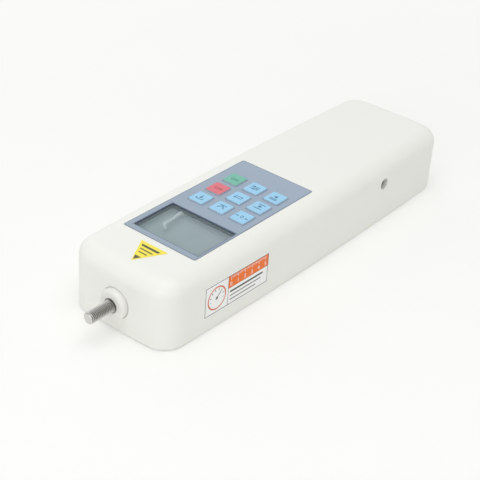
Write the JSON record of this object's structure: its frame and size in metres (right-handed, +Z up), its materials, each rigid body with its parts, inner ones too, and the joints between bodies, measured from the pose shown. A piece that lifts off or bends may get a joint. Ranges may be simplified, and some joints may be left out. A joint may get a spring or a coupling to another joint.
{
  "type": "force gauge",
  "caption": "Hand-held digital push-pull force gauge: slim moulded case with a display and keypad, and a threaded load stud at one end.",
  "frame": {"origin": "on the underside, at the centre of the four stand-mounting holes, which is also the middle of the case", "axes": "+X from the load stud to the tail, +Y across the case, away from the side with the sticker and charging socket, +Z up out of the keypad"},
  "size_m": [0.2485, 0.066, 0.0369],
  "materials": {
    "case_plastic": "moulded satin, fine texture",
    "cover_plastic": "moulded satin",
    "collar_plastic": "smooth turned plastic",
    "stud_steel": "threaded stainless steel",
    "shaft_steel": "turned steel",
    "cell_aluminium": "machined and anodised",
    "gauge_foil": "polyimide foil",
    "bracket_metal": "machined",
    "screw_steel": "zinc plated",
    "board_laminate": "solder mask",
    "black_moulding": "moulded",
    "white_moulding": "moulded",
    "display_face": "grey-green liquid crystal face",
    "display_frame": "folded sheet",
    "backlight_guide": "light guide",
    "contact_rubber": "layered elastomer",
    "window_clear": "clear hard-coated sheet",
    "overlay_film": "printed grey-blue film",
    "key_blue": "printed light blue film",
    "key_green": "printed green film",
    "key_red": "printed red film",
    "plunger_moulding": "moulded",
    "battery_wrap": "shrink sleeve",
    "lead_sheath": "insulated wire",
    "cable_sheath": "insulated cable",
    "side_print": "white sticker with an orange block",
    "pointer_print": "yellow sticker"
  },
  "bodies": {
    "root": {"case_shell": "case_plastic", "back_cover": "cover_plastic", "cover_screws": "screw_steel", "nose_collar": "collar_plastic", "load_cell": "cell_aluminium", "strain_gauges": "gauge_foil", "cell_bracket": "bracket_metal", "cell_bolt": "screw_steel", "bracket_screws": "screw_steel", "chassis_plate": "bracket_metal", "chassis_screws": "screw_steel", "main_board": "board_laminate", "board_screws": "screw_steel", "key_switches": "black_moulding", "board_chips": "black_moulding", "buzzer": "black_moulding", "board_connectors": "white_moulding", "lcd_glass": "display_face", "lcd_frame": "display_frame", "lcd_backlight": "backlight_guide", "zebra_strips": "contact_rubber", "display_window": "window_clear", "keypad_overlay": "overlay_film", "battery_cells": "battery_wrap", "battery_tray": "black_moulding", "charge_jack": "black_moulding", "battery_leads": "lead_sheath", "jack_leads": "lead_sheath", "cell_cable": "cable_sheath", "side_sticker": "side_print", "pointer_sticker": "pointer_print"},
    "load_line": {"load_stud": "stud_steel", "load_shaft": "shaft_steel"},
    "on_button": {"key_on": "key_green", "plunger_on": "plunger_moulding"},
    "set_button": {"key_set": "key_blue", "plunger_set": "plunger_moulding"},
    "up_button": {"key_up": "key_blue", "plunger_up": "plunger_moulding"},
    "off_button": {"key_off": "key_red", "plunger_off": "plunger_moulding"},
    "unit_button": {"key_unit": "key_blue", "plunger_unit": "plunger_moulding"},
    "down_button": {"key_down": "key_blue", "plunger_down": "plunger_moulding"},
    "save_button": {"key_save": "key_blue", "plunger_save": "plunger_moulding"},
    "peak_button": {"key_peak": "key_blue", "plunger_peak": "plunger_moulding"},
    "zero_button": {"key_zero": "key_blue", "plunger_zero": "plunger_moulding"}
  },
  "joints": [
    {"name": "load_slide", "type": "slide", "parent": "root", "child": "load_line", "axis": [1, 0, 0], "range_m": [-0.00025, 0.00025], "stiffness_N_per_m": 2000},
    {"name": "on_press", "type": "slide", "parent": "root", "child": "on_button", "axis": [0, 0, -1], "range_m": [0, 0.0003], "stiffness_N_per_m": 300},
    {"name": "set_press", "type": "slide", "parent": "root", "child": "set_button", "axis": [0, 0, -1], "range_m": [0, 0.0003], "stiffness_N_per_m": 300},
    {"name": "up_press", "type": "slide", "parent": "root", "child": "up_button", "axis": [0, 0, -1], "range_m": [0, 0.0003], "stiffness_N_per_m": 300},
    {"name": "off_press", "type": "slide", "parent": "root", "child": "off_button", "axis": [0, 0, -1], "range_m": [0, 0.0003], "stiffness_N_per_m": 300},
    {"name": "unit_press", "type": "slide", "parent": "root", "child": "unit_button", "axis": [0, 0, -1], "range_m": [0, 0.0003], "stiffness_N_per_m": 300},
    {"name": "down_press", "type": "slide", "parent": "root", "child": "down_button", "axis": [0, 0, -1], "range_m": [0, 0.0003], "stiffness_N_per_m": 300},
    {"name": "save_press", "type": "slide", "parent": "root", "child": "save_button", "axis": [0, 0, -1], "range_m": [0, 0.0003], "stiffness_N_per_m": 300},
    {"name": "peak_press", "type": "slide", "parent": "root", "child": "peak_button", "axis": [0, 0, -1], "range_m": [0, 0.0003], "stiffness_N_per_m": 300},
    {"name": "zero_press", "type": "slide", "parent": "root", "child": "zero_button", "axis": [0, 0, -1], "range_m": [0, 0.0003], "stiffness_N_per_m": 300}
  ]
}
